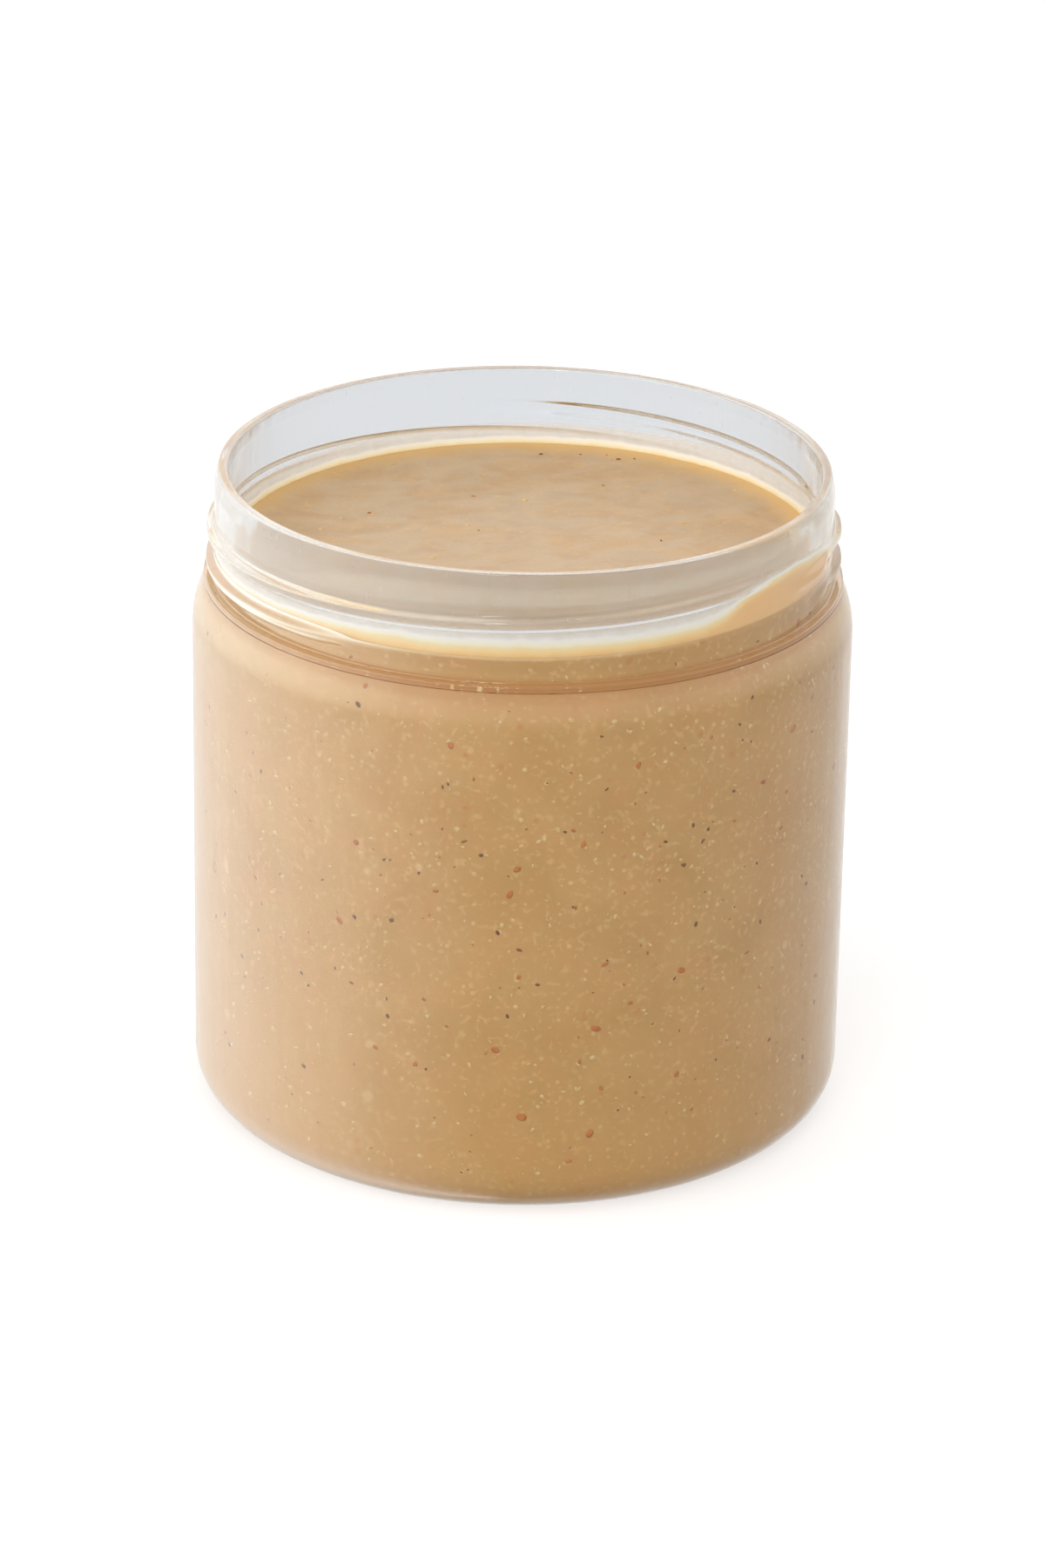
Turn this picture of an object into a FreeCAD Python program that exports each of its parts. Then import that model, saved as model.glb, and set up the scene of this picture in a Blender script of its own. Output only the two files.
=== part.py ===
"""Clear screw-neck food jar, filled with a smooth nut spread to just below its thread.

The jar is one blow-moulded shell: a rounded lip, a drafted neck, the bead under the thread,
a soft shoulder, a straight body, a round heel and a base pushed up inside its foot ring.
The spread fills that shell up to its own uneven surface, so both take their faces from one
outline of the cavity. Millimetres, +Z up, origin at the centre of the face the jar stands on.
"""

import FreeCAD, Part

import math
import os

import Sketcher

SIZES = {
    "jar_height": 94.0,
    "neck_radius": 43.2,
    "neck_wall": 1.9,
    "neck_height": 15.3,
    "neck_draft": 0.3,
    "lead_in_height": 2.4,
    "lead_in_depth": 0.5,
    "lip_rounding": 0.45,
    "bead_overhang": 1.6,
    "bead_height": 0.9,
    "bead_undercut": 0.3,
    "shoulder_width": 1.6,
    "shoulder_rise": 7.0,
    "inner_shoulder_rise": 7.4,
    "inner_shoulder_lift": 1.4,
    "body_wall": 1.0,
    "base_wall": 1.4,
    "heel_radius": 6.0,
    "foot_ring_width": 3.4,
    "step_width": 2.0,
    "step_height": 1.6,
    "cone_rise": 1.4,
    "gate_radius": 4.0,
    "headspace": 12.4,
    "edge_climb": 0.55,
    "surface_slope": 0.5,
    "swirl_height": 0.22,
    "swirl_pitch": 11.0,
}

SURFACE_STEPS = 28
SWIRL_TURN = math.radians(24)
SLOPE_TURN = math.radians(38)
EDGE_SHARPNESS = 10


class Size:
    """A length with its value now and the sheet formula that keeps it driven."""

    def __init__(self, value, formula):
        self.value = value
        self.formula = formula

    def combined(self, sign, other, value):
        text = other.formula if isinstance(other, Size) else repr(other)
        return Size(value, f"({self.formula} {sign} {text})")

    def __add__(self, other):
        return self.combined("+", other, self.value + number(other))

    def __sub__(self, other):
        return self.combined("-", other, self.value - number(other))

    def __mul__(self, other):
        return self.combined("*", other, self.value * number(other))

    def __truediv__(self, other):
        return self.combined("/", other, self.value / number(other))


STANDING_FACE = Size(0.0, "0")


def number(size):
    return size.value if isinstance(size, Size) else size


def write_sheet(doc):
    """Put every driving size in the sheet, one row each, with its alias."""
    sheet = doc.addObject("Spreadsheet::Sheet", "Sizes")
    for row, (name, value) in enumerate(SIZES.items(), start=1):
        sheet.set(f"A{row}", name)
        sheet.set(f"B{row}", str(value))
        sheet.setAlias(f"B{row}", name)
    doc.recompute()
    return sheet


def read_sizes(sheet):
    return {name: Size(float(sheet.get(name)), f"Sizes.{name}") for name in SIZES}


# Outlines ------------------------------------------------------------------------------
# An outline is a closed run of corners in the radius/height plane. Each corner is
# (radius, height, bend): bend is None for a straight run up to the corner, or the radius of
# the arc that leads to it, with +1 or -1 for an arc whose centre lies left or right of the run.


def tangent_radius(run, drop):
    """Radius of the arc that leaves a straight wall smoothly and drops away from it."""
    return (run * run + drop * drop) / (drop * 2)


def body_radius(size):
    return size["neck_radius"] + size["bead_overhang"] + size["shoulder_width"]


def bore_radius(size):
    return size["neck_radius"] - size["neck_wall"]


def base_corners(size, lift):
    """Underside from the axis out to the heel, raised by the given wall."""
    flat_end = body_radius(size) - size["heel_radius"]
    ring_start = flat_end - size["foot_ring_width"]
    cone_edge = ring_start - size["step_width"]
    cone_top = lift + size["step_height"] + size["cone_rise"]
    return [
        (None, cone_top, None),
        (size["gate_radius"], cone_top, None),
        (cone_edge, lift + size["step_height"], None),
        (ring_start, lift, None),
        (flat_end, lift, None),
    ]


def outer_outline(size):
    """The jar as if it were solid, from the middle of its base round to the lip."""
    widest = body_radius(size)
    neck_foot = size["jar_height"] - size["neck_height"]
    bead_foot = neck_foot - size["bead_height"]
    bead_radius = size["neck_radius"] + size["bead_overhang"]
    shoulder_top = bead_radius - size["bead_undercut"]
    shoulder_bend = tangent_radius(size["shoulder_rise"], widest - shoulder_top)
    lip_radius = size["neck_radius"] - size["lead_in_depth"]
    lip_start = size["jar_height"] - size["lip_rounding"]
    return base_corners(size, STANDING_FACE) + [
        (widest, size["heel_radius"], (size["heel_radius"], 1)),
        (widest, bead_foot - size["shoulder_rise"], None),
        (shoulder_top, bead_foot, (shoulder_bend, 1)),
        (bead_radius, bead_foot, None),
        (bead_radius, neck_foot, None),
        (size["neck_radius"] + size["neck_draft"], neck_foot, None),
        (size["neck_radius"], size["jar_height"] - size["lead_in_height"], None),
        (lip_radius, lip_start, None),
        (lip_radius - size["lip_rounding"], size["jar_height"], (size["lip_rounding"], 1)),
        (None, size["jar_height"], None),
    ]


def cavity_outline(size):
    """The space inside the walls, carried on a little above the lip."""
    inner_radius = body_radius(size) - size["body_wall"]
    inner_heel = size["heel_radius"] - size["body_wall"]
    bore = bore_radius(size)
    bore_start = size["jar_height"] - size["neck_height"] + size["inner_shoulder_lift"]
    wall_end = bore_start - size["inner_shoulder_rise"]
    bend = tangent_radius(size["inner_shoulder_rise"] / 2, (inner_radius - bore) / 2)
    lip_start = size["jar_height"] - size["lip_rounding"]
    mouth_radius = bore + size["lip_rounding"]
    above_lip = size["jar_height"] + size["lip_rounding"]
    return base_corners(size, size["base_wall"]) + [
        (inner_radius, size["base_wall"] + inner_heel, (inner_heel, 1)),
        (inner_radius, wall_end, None),
        ((inner_radius + bore) / 2, (wall_end + bore_start) / 2, (bend, 1)),
        (bore, bore_start, (bend, -1)),
        (bore, lip_start, None),
        (mouth_radius, size["jar_height"], (size["lip_rounding"], -1)),
        (mouth_radius, above_lip, None),
        (None, above_lip, None),
    ]


def arc_between(start, end, radius, side):
    """Arc of a given radius between two points, with its centre on the given side of the run.

    A sketch keeps its arcs anticlockwise, so one with its centre on the right starts at the
    end of the run.
    """
    chord = end - start
    middle = start + chord * 0.5
    reach = math.sqrt(max(radius * radius - chord.Length * chord.Length / 4, 0.0))
    left = FreeCAD.Vector(-chord.y, chord.x, 0).normalize()
    centre = middle + left * (reach * side)
    first, last = (start, end) if side > 0 else (end, start)
    first_angle = math.atan2(first.y - centre.y, first.x - centre.x)
    last_angle = math.atan2(last.y - centre.y, last.x - centre.x)
    if last_angle < first_angle:
        last_angle += 2 * math.pi
    circle = Part.Circle(centre, FreeCAD.Vector(0, 0, 1), radius)
    return Part.ArcOfCircle(circle, first_angle, last_angle)


def corner_point(corner):
    radius = 0.0 if corner[0] is None else corner[0].value
    return FreeCAD.Vector(radius, corner[1].value, 0)


def drive(sketch, name, constraint, size):
    index = sketch.addConstraint(constraint)
    sketch.renameConstraint(index, name)
    sketch.setExpression(f"Constraints.{name}", size.formula)


def draw_outline(sketch, corners):
    """Draw the closed outline, and bind every corner and arc to the sheet."""
    points = [corner_point(corner) for corner in corners]
    count = len(corners)
    end_vertex = []
    for index in range(count):
        following = (index + 1) % count
        bend = corners[following][2]
        if bend is None:
            run = Part.LineSegment(points[index], points[following])
        else:
            run = arc_between(points[index], points[following], bend[0].value, bend[1])
        sketch.addGeometry(run, False)
        end_vertex.append(2 if bend is None or bend[1] > 0 else 1)
    for index in range(count):
        following = (index + 1) % count
        own_end = end_vertex[index]
        next_start = 3 - end_vertex[following]
        sketch.addConstraint(Sketcher.Constraint("Coincident", index, own_end, following, next_start))
        radius, height, bend = corners[following]
        if radius is None:
            sketch.addConstraint(Sketcher.Constraint("PointOnObject", index, own_end, -2))
        else:
            across = Sketcher.Constraint("DistanceX", -1, 1, index, own_end, radius.value)
            drive(sketch, f"radius_{following}", across, radius)
        if abs(height.value) < 1e-9:
            sketch.addConstraint(Sketcher.Constraint("PointOnObject", index, own_end, -1))
        else:
            upward = Sketcher.Constraint("DistanceY", -1, 1, index, own_end, height.value)
            drive(sketch, f"height_{following}", upward, height)
        if bend is not None:
            drive(sketch, f"bend_{following}", Sketcher.Constraint("Radius", index, bend[0].value), bend[0])


def upright_sketch(body, name):
    """A sketch on the body's own plane of radius and height."""
    plane = next(item for item in body.Origin.OriginFeatures if item.Role == "XZ_Plane")
    sketch = body.newObject("Sketcher::SketchObject", name)
    sketch.AttachmentSupport = (plane, [""])
    sketch.MapMode = "FlatFace"
    return sketch


def turned(body, kind, name, sketch):
    """A full turn of the sketch about the jar's axis, added to the body or cut from it."""
    feature = body.newObject(f"PartDesign::{kind}", name)
    feature.Profile = sketch
    feature.ReferenceAxis = (sketch, ["V_Axis"])
    feature.Angle = 360.0
    sketch.Visibility = False
    return feature


# Pieces --------------------------------------------------------------------------------


def make_jar(doc, size):
    """Outer form turned in one piece, then the cavity turned out of it."""
    body = doc.addObject("PartDesign::Body", "Jar")
    body.Label = "jar"
    outer = upright_sketch(body, "OuterOutline")
    draw_outline(outer, outer_outline(size))
    turned(body, "Revolution", "OuterForm", outer)
    doc.recompute()
    cavity = upright_sketch(body, "CavityOutline")
    draw_outline(cavity, cavity_outline(size))
    turned(body, "Groove", "Cavity", cavity)
    return body


def make_cavity_fill(doc, size):
    """The whole cavity as a solid, with the same outline as the groove in the jar."""
    body = doc.addObject("PartDesign::Body", "CavityFill")
    body.Label = "cavity_fill"
    outline = upright_sketch(body, "FillOutline")
    draw_outline(outline, cavity_outline(size))
    turned(body, "Revolution", "FillForm", outline)
    return body


def surface_height(x, y, size):
    """Height of the settled surface over its mean level.

    It climbs a little where it clings to the wall, lies slightly higher on one side, and
    keeps the low folds that it was poured with.
    """
    bore = bore_radius(size).value
    reach = min(math.hypot(x, y) / bore, 1.0)
    climb = size["edge_climb"].value * reach**EDGE_SHARPNESS
    uphill = x * math.cos(SLOPE_TURN) + y * math.sin(SLOPE_TURN)
    slope = size["surface_slope"].value * uphill / bore
    along = x * math.cos(SWIRL_TURN) + y * math.sin(SWIRL_TURN)
    across = y * math.cos(SWIRL_TURN) - x * math.sin(SWIRL_TURN)
    pitch = size["swirl_pitch"].value
    fold = math.sin(across / pitch * 2 + math.sin(along / pitch))
    calm = 1.0 - reach**4
    return climb + slope + size["swirl_height"].value * calm * fold


def make_air_space(doc, size):
    """Everything above the spread's surface, as a tool to cut with."""
    half_side = body_radius(size).value + size["body_wall"].value
    positions = [half_side * (2 * step / SURFACE_STEPS - 1) for step in range(SURFACE_STEPS + 1)]
    grid = [
        [FreeCAD.Vector(x, y, surface_height(x, y, size)) for y in positions]
        for x in positions
    ]
    surface = Part.BSplineSurface()
    surface.interpolate(grid)
    tool = doc.addObject("Part::Feature", "AirSpace")
    tool.Label = "air_space"
    tool.Shape = surface.toShape().extrude(FreeCAD.Vector(0, 0, size["jar_height"].value))
    level = size["jar_height"] - size["headspace"]
    tool.Placement.Base.z = level.value
    tool.setExpression("Placement.Base.z", level.formula)
    return tool


def make_spread(doc, size):
    """The cavity filled up to the surface."""
    spread = doc.addObject("Part::Cut", "Spread")
    spread.Label = "spread"
    spread.Base = make_cavity_fill(doc, size)
    spread.Tool = make_air_space(doc, size)
    return spread


def check(doc, pieces):
    """Stop before anything is written if a feature failed or a piece isn't one good solid."""
    for item in doc.Objects:
        if "Invalid" in item.State or "Error" in item.State:
            raise RuntimeError(f"{item.Label} did not build: {item.State}")
    for piece in pieces:
        if piece.Shape.isNull() or not piece.Shape.isValid():
            raise RuntimeError(f"{piece.Label} has no valid shape")
        if len(piece.Shape.Solids) != 1:
            raise RuntimeError(f"{piece.Label} has {len(piece.Shape.Solids)} solids")


def main():
    doc = FreeCAD.newDocument("SpreadJar")
    size = read_sizes(write_sheet(doc))
    pieces = [make_jar(doc, size), make_spread(doc, size)]
    doc.recompute()
    check(doc, pieces)
    os.makedirs("parts", exist_ok=True)
    for piece in pieces:
        piece.Shape.exportStep(f"parts/{piece.Label}.step")
        box = piece.Shape.BoundBox
        print(piece.Label, "volume", round(piece.Shape.Volume), "top", round(box.ZMax, 3))


main()
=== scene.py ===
"""Looks of a jar of nut spread: the moulded clear jar with its thread, the spread that fills
it, the film and the smear on its wall, and the bits of nut in it. Metres, +Z up."""

import math

import bmesh
import bpy
import numpy as np
from mathutils import Matrix, Vector


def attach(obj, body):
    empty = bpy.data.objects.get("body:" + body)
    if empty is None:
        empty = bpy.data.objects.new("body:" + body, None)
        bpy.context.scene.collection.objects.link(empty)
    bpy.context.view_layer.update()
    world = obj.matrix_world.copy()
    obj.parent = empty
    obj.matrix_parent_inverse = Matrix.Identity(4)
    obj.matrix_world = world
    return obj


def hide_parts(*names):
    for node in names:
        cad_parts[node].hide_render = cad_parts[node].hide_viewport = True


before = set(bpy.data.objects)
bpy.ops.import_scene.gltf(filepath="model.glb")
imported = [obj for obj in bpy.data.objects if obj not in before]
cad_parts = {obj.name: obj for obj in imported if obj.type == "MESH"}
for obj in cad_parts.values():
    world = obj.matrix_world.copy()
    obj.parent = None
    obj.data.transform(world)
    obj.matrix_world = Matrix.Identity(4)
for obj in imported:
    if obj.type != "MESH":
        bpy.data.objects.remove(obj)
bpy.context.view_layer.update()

MM = 0.001

# The jar, in millimetres ----------------------------------------------------------------
JAR_HEIGHT = 94.0
BODY_RADIUS = 46.4
INNER_RADIUS = 45.4
BORE_RADIUS = 41.3
LIP_RADIUS = 42.7
LIP_ROUNDING = 0.45
LEAD_IN_FOOT = 91.6
NECK_TOP_RADIUS = 43.2
NECK_FOOT_RADIUS = 43.5
NECK_FOOT = 78.7
BEAD_RADIUS = 44.8
BEAD_FOOT = 77.8
BEAD_ROUNDING = 0.25
SHOULDER_TOP_RADIUS = 44.5
SHOULDER_SETBACK = 0.02
SHOULDER_ROUNDING = 0.12
SHOULDER_FOOT = 70.8
INNER_SHOULDER_FOOT = 72.7
INNER_SHOULDER_TOP = 80.1
HEEL_RADIUS = 6.0
INNER_HEEL = 5.0
BASE_WALL = 1.4
# The base steps up inside its foot ring and goes on as a cone to the moulding gate
RING_START = 37.0
CONE_EDGE = 35.0
STEP_HEIGHT = 1.6
STEP_ROUNDING = 0.5
CONE_HEIGHT = 3.0
GATE_RADIUS = 4.0
# Rings of points on the straight walls, on the neck's bore and on the cavity's shoulder
WALL_ROWS = (20.0, 40.0, 60.0)
BORE_ROWS = (84.0, 88.0, 92.0)
SHOULDER_ROWS = 26
JAR_COLUMNS = 360

# The thread, each ridge as start angle, end angle, height at its start, and its two fades
THREAD_LEAD = 7.7
THREAD_DEPTH = 1.0
THREAD_CREST = 0.3
THREAD_FLANK = 1.05
THREAD_RIDGES = (
    (-26.0, 330.0, 80.8, 16.0, 45.0),
    (-34.0, 112.0, 85.0, 16.0, 62.0),
    (118.0, 244.0, 79.3, 16.0, 22.0),
)
# The ridges dip on both sides of the mould's parting line
THREAD_DIPS = (-13.0, 13.0)
DIP_REACH = 11.0
DIP_SHARE = 0.9
# Rings of points that carry the ridges
THREAD_ROWS = np.arange(79.2, 91.31, 0.17)

# The spread, which reaches just into the wall that it lies on
LEVEL = 81.6
EDGE_CLIMB = 0.55
EDGE_SHARPNESS = 10
SURFACE_SLOPE = 0.5
SLOPE_TURN = math.radians(38)
SWIRL_HEIGHT = 0.22
SWIRL_PITCH = 11.0
SWIRL_TURN = math.radians(24)
WALL_OVERLAP = 0.25
SHORE_ROWS = (80.5, 80.9, 81.3)
SPREAD_SHOULDER_ROWS = 24
SURFACE_RINGS = 111
SPREAD_COLUMNS = 480
# Low random waves on its surface, calm beyond a share of the way to the wall
RIPPLE_SEED = 5
RIPPLE_PITCHES = np.geomspace(1.4, 9.0, 34)
RIPPLE_STRAY = 0.55
RIPPLE_HEIGHT = 0.0065
CALM_FROM = 0.9


def smooth(low, high, value):
    """0 below low, 1 above high, and an even ease between them."""
    t = np.clip((np.asarray(value, float) - low) / (high - low), 0.0, 1.0)
    return t * t * (3 - 2 * t)


# Meshes ---------------------------------------------------------------------------------


def new_object(name, points, faces):
    """A smoothly shaded mesh object from points in millimetres."""
    mesh = bpy.data.meshes.new(name)
    mesh.from_pydata((np.asarray(points) * MM).tolist(), [], faces)
    mesh.polygons.foreach_set("use_smooth", [True] * len(mesh.polygons))
    mesh.validate()
    mesh.update()
    piece = bpy.data.objects.new(name, mesh)
    bpy.context.scene.collection.objects.link(piece)
    return piece


def band_faces(rows, columns, closed):
    """Quads between neighbouring rings of points, and from the last ring to the first if closed."""
    last = rows if closed else rows - 1
    row, column = np.meshgrid(np.arange(last), np.arange(columns), indexing="ij")
    here, there = row * columns, (row + 1) % rows * columns
    following = (column + 1) % columns
    quads = np.stack([here + column, here + following, there + following, there + column], axis=-1)
    return quads.reshape(-1, 4).tolist()


def turned_solid(name, rings, first_pole, last_pole):
    """A closed solid of rings of points, shut by a fan at each end."""
    rows, columns = rings.shape[:2]
    points = np.concatenate([rings.reshape(-1, 3), [first_pole, last_pole]])
    faces = band_faces(rows, columns, closed=False)
    start, end = rows * columns, rows * columns + 1
    final = (rows - 1) * columns
    for column in range(columns):
        following = (column + 1) % columns
        faces.append([start, following, column])
        faces.append([final + column, final + following, end])
    return new_object(name, points, faces)


def add_values(piece, name, values):
    """A number for each vertex, for the material to read."""
    layer = piece.data.attributes.new(name, "FLOAT", "POINT")
    layer.data.foreach_set("value", np.asarray(values, np.float32).ravel())


def even_angles(columns):
    """One row of angles all the way round."""
    return np.radians(np.arange(columns) * 360 / columns)[None, :]


def ring_points(radius, height, angles):
    """Rings of points, one for each row of radii and heights."""
    coordinates = np.broadcast_arrays(radius * np.cos(angles), radius * np.sin(angles), height)
    return np.stack(coordinates, axis=-1)


# Outlines -------------------------------------------------------------------------------

# Distance from its corner of the point beside an arc's end, as a share of that end's distance
SUPPORT_REACH = 1.3


def rounded(corners, steps=6):
    """Replace each corner (radius, height, rounding) by an arc that touches both its runs.

    A point set just outside each end of an arc keeps the shading of the long run beside it
    from bending.
    """
    line = []
    for index, (radius, height, rounding) in enumerate(corners):
        here = np.array([radius, height])
        if rounding == 0 or index in (0, len(corners) - 1):
            line.append(here)
            continue
        before = np.array(corners[index - 1][:2]) - here
        after = np.array(corners[index + 1][:2]) - here
        reach_before, reach_after = np.linalg.norm(before), np.linalg.norm(after)
        before, after = before / reach_before, after / reach_after
        half = math.acos(np.clip(before @ after, -1, 1)) / 2
        run = rounding / math.tan(half)
        middle = (before + after) / np.linalg.norm(before + after)
        centre = here + middle * rounding / math.sin(half)
        first, last = here + before * run - centre, here + after * run - centre
        turn = math.pi - 2 * half
        line.append(here + before * min(run * SUPPORT_REACH, (run + reach_before) / 2))
        for step in range(steps + 1):
            part = step / steps
            swung = math.sin((1 - part) * turn) * first + math.sin(part * turn) * last
            line.append(centre + swung / math.sin(turn))
        line.append(here + after * min(run * SUPPORT_REACH, (run + reach_after) / 2))
    return np.array(line)


def shoulder_run(steps=14):
    """The arc that leaves the straight wall smoothly and drops away from it up to the bead."""
    rise = BEAD_FOOT - SHOULDER_FOOT
    drop = BODY_RADIUS - SHOULDER_TOP_RADIUS
    bend = (rise * rise + drop * drop) / (2 * drop)
    heights = np.linspace(0, rise, steps)
    radii = BODY_RADIUS - bend + np.sqrt(bend * bend - heights * heights)
    return [(r, SHOULDER_FOOT + z, 0) for r, z in zip(radii, heights)]


def inner_shoulder_radius(height):
    """Radius of the cavity between its straight wall and its bore, as two arcs that meet."""
    rise = (INNER_SHOULDER_TOP - INNER_SHOULDER_FOOT) / 2
    drop = (INNER_RADIUS - BORE_RADIUS) / 2
    bend = (rise * rise + drop * drop) / (2 * drop)
    below = np.clip(height - INNER_SHOULDER_FOOT, 0, rise)
    above = np.clip(INNER_SHOULDER_TOP - height, 0, rise)
    lower = INNER_RADIUS - bend + np.sqrt(bend * bend - below * below)
    upper = BORE_RADIUS + bend - np.sqrt(bend * bend - above * above)
    return np.where(height < INNER_SHOULDER_FOOT + rise, lower, upper)


def straight_run(radius, heights):
    """Points of a straight wall or bore at the heights given."""
    return [(radius, z, 0) for z in heights]


def inner_shoulder_run(start, end, rows):
    """Points of the cavity's shoulder between two heights."""
    return [(float(inner_shoulder_radius(z)), z, 0) for z in np.linspace(start, end, rows)]


def floor_run():
    """Corners of the cavity's floor, from its middle out to its heel."""
    return [
        (GATE_RADIUS, BASE_WALL + CONE_HEIGHT, 0),
        (CONE_EDGE, BASE_WALL + STEP_HEIGHT, STEP_ROUNDING),
        (RING_START, BASE_WALL, STEP_ROUNDING),
        (INNER_RADIUS, BASE_WALL, INNER_HEEL),
    ]


def outer_line():
    """Outer outline of the jar from the middle of its base to the lip."""
    base = [
        (GATE_RADIUS, CONE_HEIGHT, 0),
        (CONE_EDGE, STEP_HEIGHT, STEP_ROUNDING),
        (RING_START, 0.0, STEP_ROUNDING),
        (BODY_RADIUS, 0.0, HEEL_RADIUS),
    ]
    neck = [
        (SHOULDER_TOP_RADIUS - SHOULDER_SETBACK, BEAD_FOOT, SHOULDER_ROUNDING),
        (BEAD_RADIUS, BEAD_FOOT, BEAD_ROUNDING),
        (BEAD_RADIUS, NECK_FOOT, BEAD_ROUNDING),
        (NECK_FOOT_RADIUS, NECK_FOOT, BEAD_ROUNDING),
    ]
    slope = (NECK_TOP_RADIUS - NECK_FOOT_RADIUS) / (LEAD_IN_FOOT - NECK_FOOT)
    threaded = [(NECK_FOOT_RADIUS + slope * (z - NECK_FOOT), z, 0) for z in THREAD_ROWS]
    lip = [
        (NECK_TOP_RADIUS, LEAD_IN_FOOT, 0),
        (LIP_RADIUS, JAR_HEIGHT, LIP_ROUNDING),
        ((LIP_RADIUS + BORE_RADIUS) / 2, JAR_HEIGHT, 0),
    ]
    wall = straight_run(BODY_RADIUS, WALL_ROWS)
    return rounded(base + wall + shoulder_run()[:-1] + neck + threaded + lip)


def inner_line():
    """Inner outline of the jar from the lip down and in to the middle of its floor."""
    return rounded(
        [((LIP_RADIUS + BORE_RADIUS) / 2, JAR_HEIGHT, 0), (BORE_RADIUS, JAR_HEIGHT, LIP_ROUNDING)]
        + straight_run(BORE_RADIUS, BORE_ROWS[::-1])
        + inner_shoulder_run(INNER_SHOULDER_TOP, INNER_SHOULDER_FOOT, SHOULDER_ROWS)
        + straight_run(INNER_RADIUS, WALL_ROWS[::-1])
        + floor_run()[::-1]
    )


def wetted_line():
    """Outline of the cavity as far as the spread covers it, from the middle of its floor up."""
    return rounded(
        floor_run()
        + straight_run(INNER_RADIUS, WALL_ROWS)
        + inner_shoulder_run(INNER_SHOULDER_FOOT, INNER_SHOULDER_TOP, SPREAD_SHOULDER_ROWS)
        + straight_run(BORE_RADIUS, SHORE_ROWS)
    )


# The jar --------------------------------------------------------------------------------


def thread_relief(angles, heights):
    """How far the thread stands out of the neck at each angle in degrees and height."""
    relief = np.zeros(np.broadcast(angles, heights).shape)
    for start, end, height, rise, fall in THREAD_RIDGES:
        for turn in (-360.0, 0.0, 360.0):
            along = angles + turn
            crest = height + THREAD_LEAD * (along - start) / 360
            shape = 1 - smooth(THREAD_CREST, THREAD_CREST + THREAD_FLANK, np.abs(heights - crest))
            length = smooth(start, start + rise, along) * (1 - smooth(end - fall, end, along))
            relief = np.maximum(relief, THREAD_DEPTH * shape * length)
    for dip in THREAD_DIPS:
        away = np.abs((angles - dip + 180) % 360 - 180)
        relief = relief * (1 - DIP_SHARE * (1 - smooth(0, DIP_REACH, away)))
    return relief


def make_jar():
    """The shell of the jar, from the middle of its base over the lip to the middle of its floor."""
    angles = even_angles(JAR_COLUMNS)
    outer, inner = outer_line(), inner_line()[1:]
    outer_radii = outer[:, :1] + thread_relief(np.degrees(angles), outer[:, 1:])
    outside = ring_points(outer_radii, outer[:, 1:], angles)
    inside = ring_points(inner[:, :1], inner[:, 1:], angles)
    rings = np.concatenate([outside, inside])
    return turned_solid("jar_shell", rings, (0, 0, CONE_HEIGHT), (0, 0, BASE_WALL + CONE_HEIGHT))


# The spread -----------------------------------------------------------------------------


def surface_height(x, y):
    """Height of the settled surface: its climb at the wall, its slope and its low folds."""
    reach = np.minimum(np.hypot(x, y) / BORE_RADIUS, 1.0)
    uphill = x * math.cos(SLOPE_TURN) + y * math.sin(SLOPE_TURN)
    along = x * math.cos(SWIRL_TURN) + y * math.sin(SWIRL_TURN)
    across = y * math.cos(SWIRL_TURN) - x * math.sin(SWIRL_TURN)
    fold = np.sin(across / SWIRL_PITCH * 2 + np.sin(along / SWIRL_PITCH))
    climb = EDGE_CLIMB * reach**EDGE_SHARPNESS
    slope = SURFACE_SLOPE * uphill / BORE_RADIUS
    return LEVEL + climb + slope + SWIRL_HEIGHT * (1 - reach**4) * fold


def ripple_waves():
    """Random low waves, most of them lying along one way, as (direction x, y, phase, height)."""
    rng = np.random.default_rng(RIPPLE_SEED)
    waves = []
    for pitch in RIPPLE_PITCHES:
        turn = SWIRL_TURN + math.pi / 2 + rng.normal(0, RIPPLE_STRAY)
        phase = rng.uniform(0, math.tau)
        height = RIPPLE_HEIGHT * math.sqrt(pitch)
        waves.append((math.cos(turn) / pitch, math.sin(turn) / pitch, phase, height))
    return waves


RIPPLE_WAVES = ripple_waves()


def surface_ripple(x, y):
    """Low streaks and dimples left by the spread as it was poured, none of them quite straight."""
    # Two crossing waves bend each way across the surface, by a millimetre or so
    bent_x = x + 1.6 * np.sin(y / 5.1) + 0.8 * np.sin(x / 3.3 + y / 4.7)
    bent_y = y + 1.3 * np.sin(x / 6.3) + 0.7 * np.sin(x / 4.1 - y / 3.7)
    total = 0.0
    for across, along, phase, height in RIPPLE_WAVES:
        turns = bent_x * across * math.pi + bent_y * along * math.pi
        total = total + height * np.sin(turns + phase)
    return total * (1 - smooth(CALM_FROM, 1.0, np.hypot(x, y) / BORE_RADIUS))


def spread_top(x, y):
    """Height of the open surface with its streaks."""
    return surface_height(x, y) + surface_ripple(x, y)


def spread_side(angles):
    """Rings of the spread's side and underside, set just into the jar's wall."""
    line = wetted_line()
    along = np.gradient(line, axis=0)
    outward = np.stack([along[:, 1], -along[:, 0]], axis=1)
    outward /= np.linalg.norm(outward, axis=1)[:, None]
    line = line + outward * WALL_OVERLAP
    return ring_points(line[:, :1], line[:, 1:], angles)


def spread_surface(angles):
    """Rings of the open surface from the wall inward, and first its edge set into the wall."""
    radii = np.linspace(1, 0, SURFACE_RINGS, endpoint=False)[:, None] * BORE_RADIUS
    x, y = radii * np.cos(angles), radii * np.sin(angles)
    top = np.stack([x, y, spread_top(x, y)], axis=-1)
    edge = top[:1].copy()
    edge[0, :, :2] *= (BORE_RADIUS + WALL_OVERLAP) / BORE_RADIUS
    return np.concatenate([edge, top])


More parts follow.
